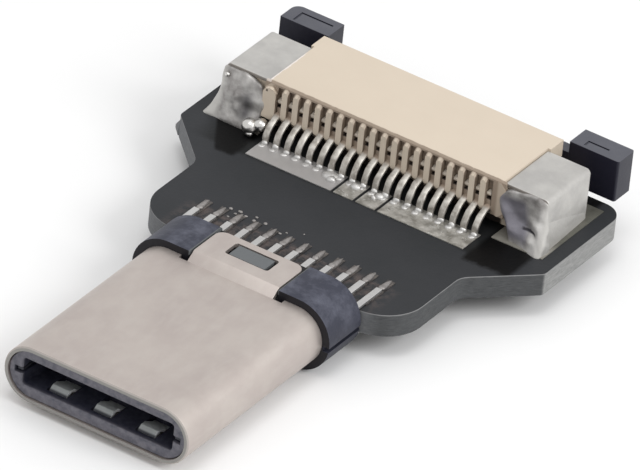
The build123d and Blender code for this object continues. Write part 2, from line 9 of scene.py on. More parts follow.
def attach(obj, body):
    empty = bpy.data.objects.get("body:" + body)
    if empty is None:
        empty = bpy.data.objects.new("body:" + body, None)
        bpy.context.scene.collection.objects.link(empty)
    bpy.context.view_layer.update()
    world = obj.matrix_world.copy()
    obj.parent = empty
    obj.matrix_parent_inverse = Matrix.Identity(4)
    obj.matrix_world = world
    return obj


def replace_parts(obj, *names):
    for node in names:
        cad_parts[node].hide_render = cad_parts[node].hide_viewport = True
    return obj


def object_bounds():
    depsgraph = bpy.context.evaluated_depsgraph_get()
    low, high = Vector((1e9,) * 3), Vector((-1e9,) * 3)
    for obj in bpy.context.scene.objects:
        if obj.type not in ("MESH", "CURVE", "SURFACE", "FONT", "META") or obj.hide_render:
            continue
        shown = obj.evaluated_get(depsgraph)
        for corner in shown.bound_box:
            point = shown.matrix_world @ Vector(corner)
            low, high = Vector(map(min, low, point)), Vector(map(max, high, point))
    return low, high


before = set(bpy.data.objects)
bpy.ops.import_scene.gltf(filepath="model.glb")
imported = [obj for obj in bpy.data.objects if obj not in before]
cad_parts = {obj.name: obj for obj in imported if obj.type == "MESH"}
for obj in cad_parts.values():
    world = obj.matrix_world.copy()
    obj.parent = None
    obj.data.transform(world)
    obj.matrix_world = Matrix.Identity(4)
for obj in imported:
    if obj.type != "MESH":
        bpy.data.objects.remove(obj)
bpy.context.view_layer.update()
MM = 0.001

# Board
# Glass-fibre board under a black solder mask, routed to shape. The routed edge is bare and shows its grey
# glass and resin, with painted light along its right wing and painted shade along the flare and the neck.
# Flux has browned the mask between the plug's tails, and painted shade darkens it by the ribbon pads and
# blackens it in front of the brackets.


class Signal:
    """A value inside a material: sums written with it add the Math nodes that they need."""

    def __init__(self, finish, socket):
        self.finish = finish
        self.socket = socket

    def _sum(self, operation, *values):
        return self.finish.node("Math", {"operation": operation}, dict(enumerate(values)))

    def __add__(self, other):
        return self._sum("ADD", self, other)

    def __sub__(self, other):
        return self._sum("SUBTRACT", self, other)

    def __rsub__(self, other):
        return self._sum("SUBTRACT", other, self)

    def __mul__(self, other):
        return self._sum("MULTIPLY", self, other)

    __radd__ = __add__
    __rmul__ = __mul__


class Finish:
    """A material: its Principled shader and the nodes that vary it over a surface."""

    def __init__(self, name, **constants):
        self.material = bpy.data.materials.new(name)
        self.material.use_nodes = True
        self.tree = self.material.node_tree
        self.shader = self.tree.nodes["Principled BSDF"]
        for socket, value in constants.items():
            self.feed(self.shader.inputs[socket.replace("_", " ")], value)

    def feed(self, socket, value):
        if isinstance(value, Signal):
            self.tree.links.new(value.socket, socket)
        else:
            socket.default_value = value

    def node(self, kind, settings, sockets, output=0):
        """Adds a node, sets it, gives its sockets their values or links, and returns one output."""
        made = self.tree.nodes.new("ShaderNode" + kind)
        for name, value in settings.items():
            setattr(made, name, value)
        for name, value in sockets.items():
            self.feed(made.inputs[name], value)
        return Signal(self, made.outputs[output])

    def place(self, stretch=(1, 1, 1)):
        """The surface's own coordinates in millimetres, stretched along an axis where a pattern is."""
        spot = self.node("TexCoord", {}, {}, "Object")
        return self.node("VectorMath", {"operation": "MULTIPLY"}, {0: spot, 1: [s / MM for s in stretch]})

    def along(self, axis):
        """How far a point is along X, Y or Z, in millimetres."""
        return self.node("SeparateXYZ", {}, {0: self.place()}, axis)

    def facing(self, axis):
        """How much a surface faces along X, Y or Z, from -1 to 1."""
        return self.node("SeparateXYZ", {}, {0: self.node("NewGeometry", {}, {}, "Normal")}, axis)

    def noise(self, scale, detail=3, roughness=0.55, stretch=(1, 1, 1)):
        """Cloudy noise, 0 to 1, with so many lumps to the millimetre."""
        sockets = {"Vector": self.place(stretch), "Scale": scale, "Detail": detail, "Roughness": roughness}
        return self.node("TexNoise", {}, sockets, "Fac")

    def between(self, value, low, high):
        """0 below low and 1 above high."""
        return self.node("MapRange", {"clamp": True}, {0: value, 1: low, 2: high})

    def band(self, value, low, high, soft=0.05):
        """1 from low to high, and fading out over soft on either side."""
        return self.between(value, low - soft, low) * (1 - self.between(value, high, high + soft))

    def away(self, axis, low, high):
        """0 within low millimetres of the middle along an axis, and 1 beyond high, on both sides."""
        reach = self.along(axis)
        return self.between(reach * reach, low * low, high * high)

    def blend(self, factor, first, second):
        """A colour between two colours."""
        return self.node("Mix", {"data_type": "RGBA"}, {0: factor, 6: first, 7: second}, 2)

    def bumps(self, height, depth):
        """Relief whose full height is depth millimetres."""
        sockets = {"Height": height, "Distance": depth * MM, "Strength": 1.0}
        self.feed(self.shader.inputs["Normal"], self.node("Bump", {}, sockets, "Normal"))

    def colour(self, value):
        self.feed(self.shader.inputs["Base Color"], value)

    def roughness(self, value):
        self.feed(self.shader.inputs["Roughness"], value)

    def metallic(self, value):
        self.feed(self.shader.inputs["Metallic"], value)


def tone(red, green, blue):
    """A shader colour from a 0 to 255 screen colour."""
    return (*[((c / 255 + 0.055) / 1.055) ** 2.4 for c in (red, green, blue)], 1.0)


def set_out(name, shape, finish, corner=40, body="adapter"):
    """Makes a bmesh in metres a piece that rides on a body, with curves smooth up to a corner in degrees."""
    mesh = bpy.data.meshes.new(name)
    shape.to_mesh(mesh)
    shape.free()
    mesh.shade_smooth()
    mesh.set_sharp_from_angle(angle=radians(corner))
    mesh.materials.append(finish.material)
    piece = bpy.data.objects.new(name, mesh)
    bpy.context.scene.collection.objects.link(piece)
    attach(piece, body)
    return piece


merge_gap = 0.0005
facet_angle = 0.5


def finished(name, finish, edge=0.03, segments=2, corner=35, body="adapter", keep=()):
    """A finer copy of a solid, which stands for it: facets merged, edges broken by edge millimetres and
    curves smooth. Where keep is given, only what lies between those two places along Y is copied."""
    shape = bmesh.new()
    shape.from_mesh(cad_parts[name].data)
    bmesh.ops.remove_doubles(shape, verts=shape.verts, dist=merge_gap * MM)
    bmesh.ops.dissolve_limit(shape, angle_limit=radians(facet_angle), verts=shape.verts, edges=shape.edges)
    for place, way in zip(keep, (-1, 1)):
        parts = shape.verts[:] + shape.edges[:] + shape.faces[:]
        cut = {"plane_co": (0, place * MM, 0), "plane_no": (0, way, 0), "clear_outer": True}
        bmesh.ops.bisect_plane(shape, geom=parts, **cut)
    piece = set_out(name + "_finished", shape, finish, corner, body)
    rounding = piece.modifiers.new("broken edges", "BEVEL")
    rounding.width = edge * MM
    rounding.segments = segments
    rounding.limit_method = "ANGLE"
    rounding.angle_limit = radians(corner)
    rounding.use_clamp_overlap = True
    rounding.harden_normals = True
    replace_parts(piece, name)
    return piece


def coat(name, finish):
    """Gives a solid whose shape is right its material."""
    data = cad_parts[name].data
    data.materials.clear()
    data.materials.append(finish.material)


mask = Finish("black solder mask", IOR=1.5, Specular_IOR_Level=0.14)
across = mask.along("X")
back = mask.along("Y")
up = mask.facing("Z")
routed = 1 - mask.between(up * up, 0.3, 0.6)

# painted shade by the ribbon pads and in front of the brackets, and flux between the plug's tails
pads_front = (17.35, 17.60)
pads_end = (6.32, 7.48)
black_front = (16.95, 17.20)
tails_ends = (11.2, 13.3)
tails_side = (4.00, 4.90)
ragged = 0.5 * mask.noise(1.6, 4, 0.7)
pads_shade = mask.between(back + ragged, *pads_front) * (1 - mask.away("X", *pads_end))
reach = across * across + 3.0 * ragged
black = mask.between(back + 1.2 * ragged, *black_front) * mask.between(reach, 27, 29)
black = black * (1 - mask.between(reach, 52, 55)) * mask.between(across + 0.6 * back, 3.95, 4.10)
flux = mask.band(back + ragged, *tails_ends, 0.3) * (1 - mask.away("X", *tails_side))
flux = flux * mask.between(mask.noise(2.4, 4, 0.7), 0.42, 0.60)
top = mask.blend(mask.noise(0.45, 2), tone(44, 46, 48), tone(52, 53, 56))
# painted shade: darker by the ribbon pads and nearly black in front of the brackets
top = mask.blend(pads_shade, top, tone(30, 31, 32))
top = mask.blend(black, top, tone(5, 5, 6))
top = mask.blend(flux, top, tone(84, 76, 74))

# the routed edge, with painted light along the right wing and painted shade along the flare and the neck
wing_from = (7.0, 7.6)
neck_to = (6.3, 6.8)
burr_from = (0.45, 0.48)
fibre = mask.noise(3.0, 4, 0.7, stretch=(1, 1, 6))
rightward = mask.between(mask.facing("X"), 0.6, 0.9)
lit_wing = rightward * mask.between(across, *wing_from)
shaded_flare = mask.between(mask.facing("X") * (0 - mask.facing("Y")), 0.15, 0.45)
shaded_neck = rightward * (1 - mask.between(across, *neck_to))
cut = mask.blend(fibre, tone(80, 82, 86), tone(128, 129, 130))
# painted light on the right wing, painted shade on the flare and the neck
for stretch_of_edge, dark, light in (
    (lit_wing, tone(84, 85, 86), tone(172, 172, 170)),
    (shaded_flare, tone(40, 42, 44), tone(96, 97, 98)),
    (shaded_neck, tone(52, 54, 56), tone(96, 97, 98)),
):
    cut = mask.blend(stretch_of_edge, cut, mask.blend(fibre, dark, light))
burr = mask.between(mask.along("Z") + 0.05 * fibre, *burr_from)
cut = mask.blend(burr, cut, tone(132, 132, 132))
mask.colour(mask.blend(routed, top, cut))
mask.roughness(0.42 + routed * 0.25 + 0.1 * mask.noise(2.5))
mask.bumps(mask.noise(6.0, 3) * (1 + routed * 3 + flux * 4), 0.006)
finished("board", mask, edge=0.05, segments=3)

# Pads
# Tinned copper, flat and dull grey. The left ribbon pad is smooth, and the others carry a rough skin of
# solder with shinier flecks, whose brightness is a painted glint. The bracket pads are dull with flux and
# darker with painted shade beside the brackets, and the plug's pads are browned by flux.

rough_from = (-1.10, -0.95)
tin = Finish("tinned pad")
skin = tin.between(tin.along("X"), *rough_from)
# the flecks are shinier solder, and their bright colour is a painted glint
fleck_glint = skin * tin.between(tin.noise(3.2, 3, 0.6), 0.58, 0.68)
smooth = tin.blend(tin.noise(1.6, 3), tone(168, 165, 164), tone(186, 184, 183))
rough = tin.blend(tin.between(tin.noise(2.6, 4), 0.35, 0.65), tone(138, 135, 128), tone(192, 189, 183))
tin.colour(tin.blend(fleck_glint, tin.blend(skin, smooth, rough), tone(226, 226, 222)))
tin.metallic(0.55 + 0.4 * fleck_glint)
tin.roughness(0.48 - 0.22 * fleck_glint)
tin.bumps(tin.noise(2.4, 4, 0.6) * (0.25 + 2.0 * skin), 0.04)
coat("ribbon_pads", tin)

shaded_from = (19.3, 20.0)
dull = Finish("fluxed pad", Metallic=0.4)
grime = dull.noise(1.5, 4, 0.6)
open_front = dull.blend(grime, tone(112, 110, 103), tone(158, 155, 147))
shaded_beside = dull.blend(grime, tone(62, 62, 56), tone(122, 121, 112))
# painted shade on the pads from where they run beside the brackets
dull.colour(dull.blend(dull.between(dull.along("Y"), *shaded_from), open_front, shaded_beside))
dull.roughness(0.45 + 0.2 * grime)
dull.bumps(grime, 0.03)
for name in ("left_bracket_pad", "right_bracket_pad"):
    coat(name, dull)

browned = Finish("flux-browned pad", Metallic=0.2, Roughness=0.5)
burnt = browned.noise(3, 3, 0.6)
browned.colour(browned.blend(browned.between(burnt, 0.4, 0.65), tone(50, 48, 48), tone(96, 90, 86)))
browned.bumps(burnt, 0.02)
for name in ("upper_plug_pads", "lower_plug_pads"):
    coat(name, browned)

# Plug insides
# Near-black moulded insulators, with painted light at the rim of the mouth, and the ground springs and the
# latch plate set in them. Those are plain spring sheet, with painted light at the spring fingers' crests and
# a painted glint on their right ends, and painted shade towards the tips and at the latch arms.

rim_depth = (0.14, 0.30)
insulator = Finish("black insulator", IOR=1.5)
grain = insulator.noise(5, 3)
# painted light at the rim of the mouth, and painted shade deeper in
lit_rim = 1 - insulator.between(insulator.along("Y"), *rim_depth)
cast = insulator.blend(lit_rim, tone(34, 35, 50), tone(100, 98, 106))
insulator.colour(insulator.blend(insulator.between(grain, 0.35, 0.75), cast, tone(62, 63, 74)))
insulator.roughness(0.40 + 0.15 * grain)
insulator.bumps(grain, 0.004)
finished("nose", insulator, edge=0.03)
coat("upper_carrier", insulator)
coat("lower_carrier", insulator)

crest_from = (0.54, 0.60)
arms_from = (2.90, 2.97)
spring = Finish("spring sheet")
# painted light on the fingers' crests and painted shade in front of them, towards the tips
lit_crest = spring.between(spring.along("Y"), *crest_from)
glint_side = spring.between(spring.facing("X"), 0.5, 0.9)
shaded_arms = spring.away("X", *arms_from)
sheet = spring.blend(spring.noise(3, 2), tone(158, 162, 162), tone(196, 199, 198))
sheet = spring.blend(lit_crest, tone(70, 72, 78), sheet)
# a painted glint on the faces turned to the right
sheet = spring.blend(glint_side, sheet, tone(252, 252, 252))
# painted shade on the latch arms
spring.colour(spring.blend(shaded_arms, sheet, tone(56, 57, 64)))
spring.metallic(0.1 + 0.3 * shaded_arms)
spring.roughness(0.38 + 0.10 * spring.noise(3, 2))
for name in ("upper_ground_spring", "lower_ground_spring", "latch_plate"):
    finished(name, spring, edge=0.07, segments=4)

# Plug shell
# Drawn steel tube with a rolled lip, whose front face has painted shade. It is matt nickel with a warm cast,
# faintly mottled and lightly rubbed.

lip_depth = (0.3, 0.5)
nickel = Finish("matt nickel", Metallic=0.78)
mottle = nickel.noise(0.55, 3, 0.6)
rub = nickel.noise(2.6, 4, 0.6, stretch=(1, 0.35, 1))
warm = nickel.blend(nickel.between(mottle, 0.35, 0.65), tone(188, 178, 173), tone(196, 187, 181))
plate = nickel.blend(0.5 * nickel.between(rub, 0.45, 0.8), warm, tone(204, 197, 191))
# painted shade on the lip's front face
lip_shade = nickel.between(0 - nickel.facing("Y"), 0.6, 0.85) * (1 - nickel.between(nickel.along("Y"), *lip_depth))
nickel.colour(nickel.blend(lip_shade, plate, tone(146, 144, 140)))
nickel.roughness(0.42 + 0.10 * rub)
nickel.bumps(nickel.noise(9, 3), 0.004)
finished("shell", nickel, edge=0.035)

# Collar
# Blue-grey moulded block behind the shell, scuffed to a lighter haze, with painted shade low down and on its
# front. The pockets for the shell's tabs are painted black as shade, and the nubs that fill the tabs' windows
# are grey.

pocket_side = (2.01, 2.05)
nub_from = (1.304, 1.323)
collar_plastic = Finish("blue-grey collar", IOR=1.5, Specular_IOR_Level=0.3)
scuff = collar_plastic.noise(1.3, 4, 0.7)
haze = collar_plastic.between(scuff, 0.42, 0.72)
upper = collar_plastic.between(collar_plastic.along("Z"), -0.6, 1.0)
shaded_pocket = 1 - collar_plastic.away("X", *pocket_side)
nub = shaded_pocket * collar_plastic.away("Z", *nub_from)
front = collar_plastic.between(0 - collar_plastic.facing("Y"), 0.5, 0.9)
moulded = collar_plastic.blend(haze, tone(52, 54, 66), tone(86, 88, 100))
# painted shade low down
moulded = collar_plastic.blend(upper, tone(38, 39, 50), moulded)
# painted shade on the faces turned to the front
moulded = collar_plastic.blend(front, moulded, tone(26, 25, 30))
# painted shade, black, in the pockets around the tabs
moulded = collar_plastic.blend(shaded_pocket, moulded, tone(14, 14, 16))
collar_plastic.colour(collar_plastic.blend(nub, moulded, tone(96, 99, 101)))
collar_plastic.roughness(0.42 + 0.2 * scuff)
collar_plastic.bumps(collar_plastic.noise(5, 3), 0.014)
finished("collar", collar_plastic, edge=0.06, segments=3)

# Plug contacts and their solder
# Tin-plated strips that come out of the collar onto their pads. Solder covers each strip's end and is drawn
# out to a duller point behind it, and a few specks of it lie loose on the mask.

tail_count = 12
tail_pitch = 0.75
tail_end = 12.95
before_all, past_all = -9, 30
cap_middle = 12.96
joint_middle = 13.16
pad_face = 0.52
strip_face = 0.56
mask_face = 0.49
dice = Random(4)


def row(count, pitch):
    """The places along X of so many like things at a pitch, with their middle at 0."""
    return [(number - (count - 1) / 2) * pitch for number in range(count)]


def bead(shape, middle, size, taper=0.0):
    """Adds a drop of solder, in millimetres: its middle and half sizes; taper narrows its far end."""
    made = bmesh.ops.create_icosphere(shape, subdivisions=2, radius=1)["verts"]
    for point in made:
        point.co.x *= 1 - taper * max(point.co.y, 0)
        point.co.z *= 1 - 0.5 * taper * max(point.co.y, 0)
    bmesh.ops.transform(shape, matrix=Matrix.Translation(middle) @ Matrix.Diagonal((*size, 1)), verts=made)


def rumple(shape, lump, height):
    """Makes a surface uneven, in millimetres: the lumps' size and height."""
    shape.normal_update()
    for point in shape.verts:
        point.co += point.normal * noise.noise(point.co / lump) * height


strip = Finish("tinned contact strip", Metallic=0.85)
streak = strip.noise(4, 3, stretch=(1, 0.3, 1))
strip.colour(strip.blend(streak, tone(186, 185, 184), tone(212, 211, 210)))
strip.roughness(0.34 + 0.16 * streak)
strip.bumps(streak, 0.004)
for name in ("upper_contacts", "lower_contacts"):
    finished(name, strip, edge=0.02, keep=(before_all, tail_end))

solder = Finish("solder", Metallic=0.8)
mottled = solder.noise(3.5, 4, 0.6)
drawn = 1 - solder.between(solder.along("Y"), 15, 16)
clean = solder.blend(mottled, tone(168, 166, 164), tone(222, 221, 219))
duller = solder.blend(mottled, tone(122, 117, 115), tone(176, 173, 171))
solder.colour(solder.blend(drawn, clean, duller))
solder.roughness(0.34 + 0.2 * solder.noise(2.6, 3) + 0.12 * drawn)
solder.bumps(solder.noise(7, 3), 0.02)

tails = bmesh.new()
for place in row(tail_count, tail_pitch):
    for face in (1, -1):
        length = 0.40 + 0.10 * dice.random()
        lean = 0.05 * (dice.random() - 0.5)
        bead(tails, (place + lean, joint_middle, pad_face * face), (0.13, length + 0.06, 0.10), 0.55)
        bead(tails, (place, cap_middle, strip_face * face), (0.14, 0.18, 0.07), 0.2)
specks = (
    (-3.22, 13.72, 0.09), (-2.91, 13.54, 0.07), (-2.83, 13.78, 0.10), (-2.50, 13.67, 0.08),
    (-2.15, 13.86, 0.07), (-1.66, 13.73, 0.09), (-0.87, 13.53, 0.07), (-0.70, 13.74, 0.05),
    (-0.16, 14.10, 0.05), (-3.02, 13.20, 0.07), (-2.62, 13.35, 0.06), (-1.80, 13.45, 0.06),
    (-2.10, 13.60, 0.08),
)
for x, y, size in specks:
    bead(tails, (x, y, mask_face), (size, size * 0.8, size * 0.5))
rumple(tails, lump=0.12, height=0.03)
bmesh.ops.scale(tails, vec=(MM, MM, MM), verts=tails.verts)
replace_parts(set_out("plug_solder", tails, solder, 80), "upper_plug_solder", "lower_plug_solder")

# Ribbon connector housing
# Warm ivory moulding with a comb of ribs along its front. It is smooth on top, and painted shade browns the
# comb's recesses, its ribs' sides and its lintel, and makes the wall under the lip behind the legs nearly
# black.
# The post at the comb's left end is rougher.

comb_rear = (20.4, 20.6)
comb_side = (5.05, 5.15)
rib_face = (19.04, 19.08)
lintel_front = (19.09, 19.11)
lintel_rear = (19.24, 19.28)
lip_height = (1.10, 1.16)
ivory = Finish("ivory plastic", IOR=1.5, Specular_IOR_Level=0.3)
across = ivory.along("X")
back = ivory.along("Y")
high = ivory.along("Z")
wall = 1 - ivory.between(ivory.facing("Z"), 0.4, 0.8)
comb = wall * (1 - ivory.between(back, *comb_rear)) * (1 - ivory.away("X", *comb_side))
proud = ivory.between(0 - ivory.facing("Y"), 0.6, 0.9) * (1 - ivory.between(back, *rib_face))
lintel_shade = 1 - ivory.between(back + 0.12 * ivory.noise(2.5, 3), *lintel_rear)
lintel_shade = lintel_shade * ivory.between(back, *lintel_front)
by_the_post = 1 - ivory.between(across, -5.0, -4.9)
dot = by_the_post * ivory.band(across, -5.33, -5.27, 0.02) * ivory.band(high, 2.33, 2.40, 0.02)
# painted shadow, nearly black, on the wall under the lip behind the legs
lip_shade = comb * (1 - ivory.between(high, *lip_height))
ragged = 0.2 * ivory.noise(3, 4, 0.7)
crust = ivory.band(across + ragged, -5.4, -5.16, 0.02) * ivory.band(back, 19.25, 21.4, 0.3) * (1 - wall)
light = ivory.blend(ivory.noise(0.8, 3), tone(200, 187, 170), tone(205, 192, 175))
# painted shade in the comb's recesses, on the sides of its ribs and on the lintel
light = ivory.blend(comb * (1 - proud), light, tone(138, 123, 109))
light = ivory.blend(lintel_shade, light, tone(150, 135, 120))
light = ivory.blend(dot, light, tone(84, 74, 66))
light = ivory.blend(crust, light, tone(222, 214, 208))
ivory.colour(ivory.blend(lip_shade, light, tone(40, 34, 30)))
ivory.roughness(0.46 + 0.08 * ivory.noise(3, 3))
ivory.bumps(ivory.noise(8, 3), 0.004)

# the posts are set flush, and the ribs end a little lower at the top and higher at the foot
comb_front = 19.11
flush_front = 19.10
ribs_end = 4.80
rib_upper, rib_top_drop = 2.4, 0.12
rib_lower, rib_foot_rise = 1.3, 0.24
comb_piece = finished("ribbon_housing", ivory, edge=0.03)
for point in comb_piece.data.vertices:
    if point.co.y < comb_front * MM:
        if abs(point.co.x) > ribs_end * MM:
            point.co.y = flush_front * MM
        elif point.co.z > rib_upper * MM:
            point.co.z -= rib_top_drop * MM
        elif point.co.z < rib_lower * MM:
            point.co.z += rib_foot_rise * MM

post_middle = (-5.17, 19.08, 1.80)
post_size = (0.58, 0.20, 1.36)
post_round = 0.24
post = bmesh.new()
block = Matrix.Translation(post_middle) @ Matrix.Diagonal((*post_size, 1))
bmesh.ops.create_cube(post, size=1, matrix=block)
at_top = [edge for edge in post.edges if all(end.co.z > post_middle[2] for end in edge.verts)]
corners = [edge for edge in at_top if abs(edge.verts[0].co.x - edge.verts[1].co.x) < 0.01]
bmesh.ops.bevel(post, geom=corners, offset=post_round, segments=5, profile=0.5, affect="EDGES", material=-1)
bmesh.ops.subdivide_edges(post, edges=post.edges, cuts=3, use_grid_fill=True)
rumple(post, lump=0.25, height=0.06)
bmesh.ops.scale(post, vec=(MM, MM, MM), verts=post.verts)
set_out("end_post", post, ivory, 50)

# Ribbon contacts
# Stamped tin-plated contacts. Each head stays in its slot, brown with painted shade, with painted shade in
# its test hole and a small bright nub over it. Each leg bows down and forward from its slot to its foot on
# the pad.

ribbon_ways = 20
ribbon_pitch = 0.5
leg_root = 19.11
hole_height = (1.74, 1.91)
nub_height = (1.93, 1.96)
leg = Finish("tin-plated leg")
high = leg.along("Z")
back = leg.along("Y")
shade = leg.noise(4, 3)
# painted shade: the heads in their slots are brown, and their test holes dark
head_shade = leg.between(high, 1.36, 1.50) * leg.between(back, 18.9, 19.0)
hole_shade = leg.band(high, *hole_height, 0.01) * leg.between(back, 19.0, 19.05)
nub = leg.between(high, *nub_height)
bare = leg.blend(leg.between(shade, 0.3, 0.7), tone(146, 140, 132), tone(206, 202, 195))
shaded_head = leg.blend(hole_shade, tone(150, 134, 119), tone(52, 43, 38))
shaded_head = leg.blend(nub, shaded_head, tone(206, 196, 182))
leg.colour(leg.blend(head_shade, bare, shaded_head))
leg.metallic(0.75 - 0.7 * head_shade)
leg.roughness(0.34 + 0.15 * shade)
leg.bumps(shade, 0.012)
finished("ribbon_contacts", leg, edge=0.03, keep=(leg_root, past_all))

strip_steps, strip_sides = 12, 12
strip_squareness = 0.55
strip_turn = 15


def bent_strip(shape, middle_x, ends, wide, thick):
    """Adds a strip with rounded edges, in millimetres, bent along a curve set by three places in Y and Z."""
    size = {"x_segments": strip_sides, "y_segments": strip_steps, "size": 1}
    made = bmesh.ops.create_grid(shape, **size)["verts"]
    made.sort(key=lambda point: (round(point.co.y, 3), round(point.co.x, 3)))
    first, pull, last = (Vector((0, *end)) for end in ends)
    for number, point in enumerate(made):
        along, around = divmod(number, strip_sides + 1)
        t = along / strip_steps
        spot = first * (1 - t) ** 2 + pull * 2 * t * (1 - t) + last * t * t
        way = ((pull - first) * (1 - t) + (last - pull) * t).normalized()
        out = Vector((0, -way.z, way.y))
        turn = Matrix.Rotation(radians(360 * around / strip_sides + strip_turn), 2) @ Vector((1, 0))
        square = [abs(part) ** strip_squareness * (1 if part > 0 else -1) for part in turn]
        point.co = spot + out * square[1] * thick / 2 + Vector((middle_x + square[0] * wide / 2, 0, 0))
    bmesh.ops.remove_doubles(shape, verts=shape.verts, dist=merge_gap)


leg_width = 0.27
leg_thickness = 0.16
foot = (18.34, 0.50)
bow = (18.22, 1.16)
hip = (19.18, 1.46)
feet = bmesh.new()
for place in row(ribbon_ways, ribbon_pitch):
    bend = (foot, (bow[0] + 0.03 * dice.random(), bow[1]), hip)
    bent_strip(feet, place + 0.02 * (dice.random() - 0.5), bend, leg_width, leg_thickness)
rumple(feet, lump=0.25, height=0.025)
bmesh.ops.recalc_face_normals(feet, faces=feet.faces)
bmesh.ops.scale(feet, vec=(MM, MM, MM), verts=feet.verts)
set_out("ribbon_contact_legs", feet, leg, 80)

# Solder at the ribbon contacts
# A small bright drop and a flat toe of solder in front of each foot, and a few larger drops where two pads'
# solder ran together.

toes = bmesh.new()
for place in row(ribbon_ways, ribbon_pitch):
    front = 18.27 + 0.03 * dice.random()
    height = 0.13 + 0.04 * dice.random()
    bead(toes, (place + 0.02, front, 0.55), (0.16, 0.14, height))
    front = 18.15 + 0.06 * dice.random()
    height = 0.05 + 0.03 * dice.random()
    bead(toes, (place - 0.03, front, 0.51), (0.16, 0.20, height))
larger = (
    (-1.60, 18.12, 0.36), (-1.42, 17.88, 0.20), (-0.44, 18.10, 0.24),
    (0.62, 18.12, 0.20), (0.50, 17.85, 0.12),
)
for x, y, size in larger:
    bead(toes, (x, y, 0.515), (size, size, 0.17))
rumple(toes, lump=0.15, height=0.03)
bmesh.ops.scale(toes, vec=(MM, MM, MM), verts=toes.verts)
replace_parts(set_out("toe_solder", toes, solder, 80), "ribbon_solder")

# Brackets
# Folded tin-plated strip at each end of the connector, which holds it down to its pad. It is dull and a
# little dented, and painted shade darkens its front-facing sheared edges.

bracket_tin = Finish("matt tin bracket")
stain = bracket_tin.noise(1.0, 4, 0.6)
front_shade = bracket_tin.between(0 - bracket_tin.facing("Y"), 0.6, 0.9)
sheet = bracket_tin.blend(bracket_tin.between(stain, 0.35, 0.7), tone(182, 180, 177), tone(200, 198, 194))
# painted shade on the faces turned to the front
bracket_tin.colour(bracket_tin.blend(front_shade, sheet, tone(126, 120, 114)))
bracket_tin.metallic(0.65 - 0.4 * front_shade)
bracket_tin.roughness(0.44 + 0.12 * stain)
bracket_tin.bumps(bracket_tin.noise(1.6, 3), 0.05)
for name in ("left_bracket", "right_bracket"):
    finished(name, bracket_tin, edge=0.05, segments=3)

# Bracket solder
# A mass of solder climbs each bracket's open front from a broad foot, with a hollow where it drew back, and a
# seam of it thins out along the bracket's outside. Two beads and two small drops lie at the left mass.

mass_back = 19.32
seam_inside = 7.22


def drape(shape, outline, axis, back, side):
    """Adds a body of solder, in millimetres: five rows of five points over its face, and a flat back. The
    places along X are given for the right-hand side, and side is 1 or -1."""
    others = set(shape.verts)
    made = bmesh.ops.create_grid(shape, x_segments=4, y_segments=4, size=1)["verts"]
    made.sort(key=lambda point: (round(point.co.y, 3), round(point.co.x, 3)))
    faces = list({face for point in made for face in point.link_faces})
    for point, (x, y, z) in zip(made, (place for points in outline for place in points)):
        point.co = (side * x, y, z)
    extruded = bmesh.ops.extrude_face_region(shape, geom=faces)["geom"]
    behind = [part for part in extruded if isinstance(part, bmesh.types.BMVert)]
    for point in behind:
        point.co[axis] = back
    edges = list({edge for point in made + behind for edge in point.link_edges})
    bmesh.ops.subdivide_edges(shape, edges=edges, cuts=7, use_grid_fill=True)
    body = [point for point in shape.verts if point not in others]
    ways = {"use_axis_x": True, "use_axis_y": True, "use_axis_z": True}
    for _ in range(8):
        bmesh.ops.smooth_vert(shape, verts=body, factor=0.5, **ways)
    bmesh.ops.recalc_face_normals(shape, faces=shape.faces)


def swell(shape, middle, size, height):
    """Raises a patch of a surface along its normals, or sinks it where height is negative."""
    shape.normal_update()
    for point in shape.verts:
        away = Vector([(point.co[n] - middle[n]) / size[n] for n in range(3)]).length
        if away < 1:
            point.co += point.normal * height * (1 - away * away) ** 2


def seam(shape, side):
    """Adds the seam along a bracket's outside, which thins from the mass to the bracket's rear."""
    ends = ((19.4, 0.92), (20.3, 0.72), (21.2, 0.48), (22.15, 0.22))
    rows = (
        (0.20, -0.16, 18.58), (0.13, 0.24, 18.76), (0.07, 0.60, 18.90),
        (0.03, 0.98, 19.02), (-0.02, 1.40, 19.12),
    )
    outline = [
        [(7.30 + reach * share, y, 0.50 + rise * share) for y, share in ((front, 1.0), *ends)]
        for reach, rise, front in rows
    ]
    drape(shape, outline, 0, side * seam_inside, side)


right = bmesh.new()
right_front = (
    ((5.92, 18.80, 0.34), (6.40, 18.72, 0.34), (6.85, 18.60, 0.34), (7.34, 18.40, 0.34), (7.58, 18.52, 0.34)),
    ((5.76, 18.90, 0.90), (6.30, 18.95, 0.90), (6.80, 18.90, 0.90), (7.18, 18.72, 0.95), (7.48, 18.84, 0.95)),
    ((5.46, 18.96, 1.40), (6.10, 19.12, 1.40), (6.65, 19.10, 1.35), (7.06, 18.90, 1.40), (7.40, 19.00, 1.40)),
    ((5.16, 19.02, 1.98), (5.90, 19.18, 1.90), (6.50, 19.18, 1.90), (7.00, 19.02, 1.95), (7.36, 19.10, 1.95)),
    ((5.52, 19.06, 2.50), (6.10, 19.12, 2.60), (6.60, 19.12, 2.64), (7.00, 19.10, 2.64), (7.34, 19.16, 2.56)),
)
drape(right, right_front, 1, mass_back, 1)
swell(right, (6.05, 19.1, 1.55), (0.50, 0.6, 0.75), -0.10)
swell(right, (6.72, 18.98, 1.18), (0.44, 0.5, 0.18), -0.10)
swell(right, (6.98, 18.95, 1.55), (0.32, 0.4, 0.22), 0.07)
swell(right, (6.90, 18.85, 0.84), (0.40, 0.5, 0.24), 0.10)
swell(right, (7.10, 19.05, 1.95), (0.28, 0.4, 0.26), 0.08)
pocks = ((6.42, 2.40, -0.10), (6.66, 2.46, 0.07), (6.80, 2.34, -0.09), (6.98, 2.46, 0.06), (6.58, 2.28, 0.06))
for x, z, height in pocks:
    swell(right, (x, 19.1, z), (0.13, 0.4, 0.09), height)
rumple(right, lump=0.40, height=0.07)
rumple(right, lump=0.16, height=0.025)
seam(right, 1)

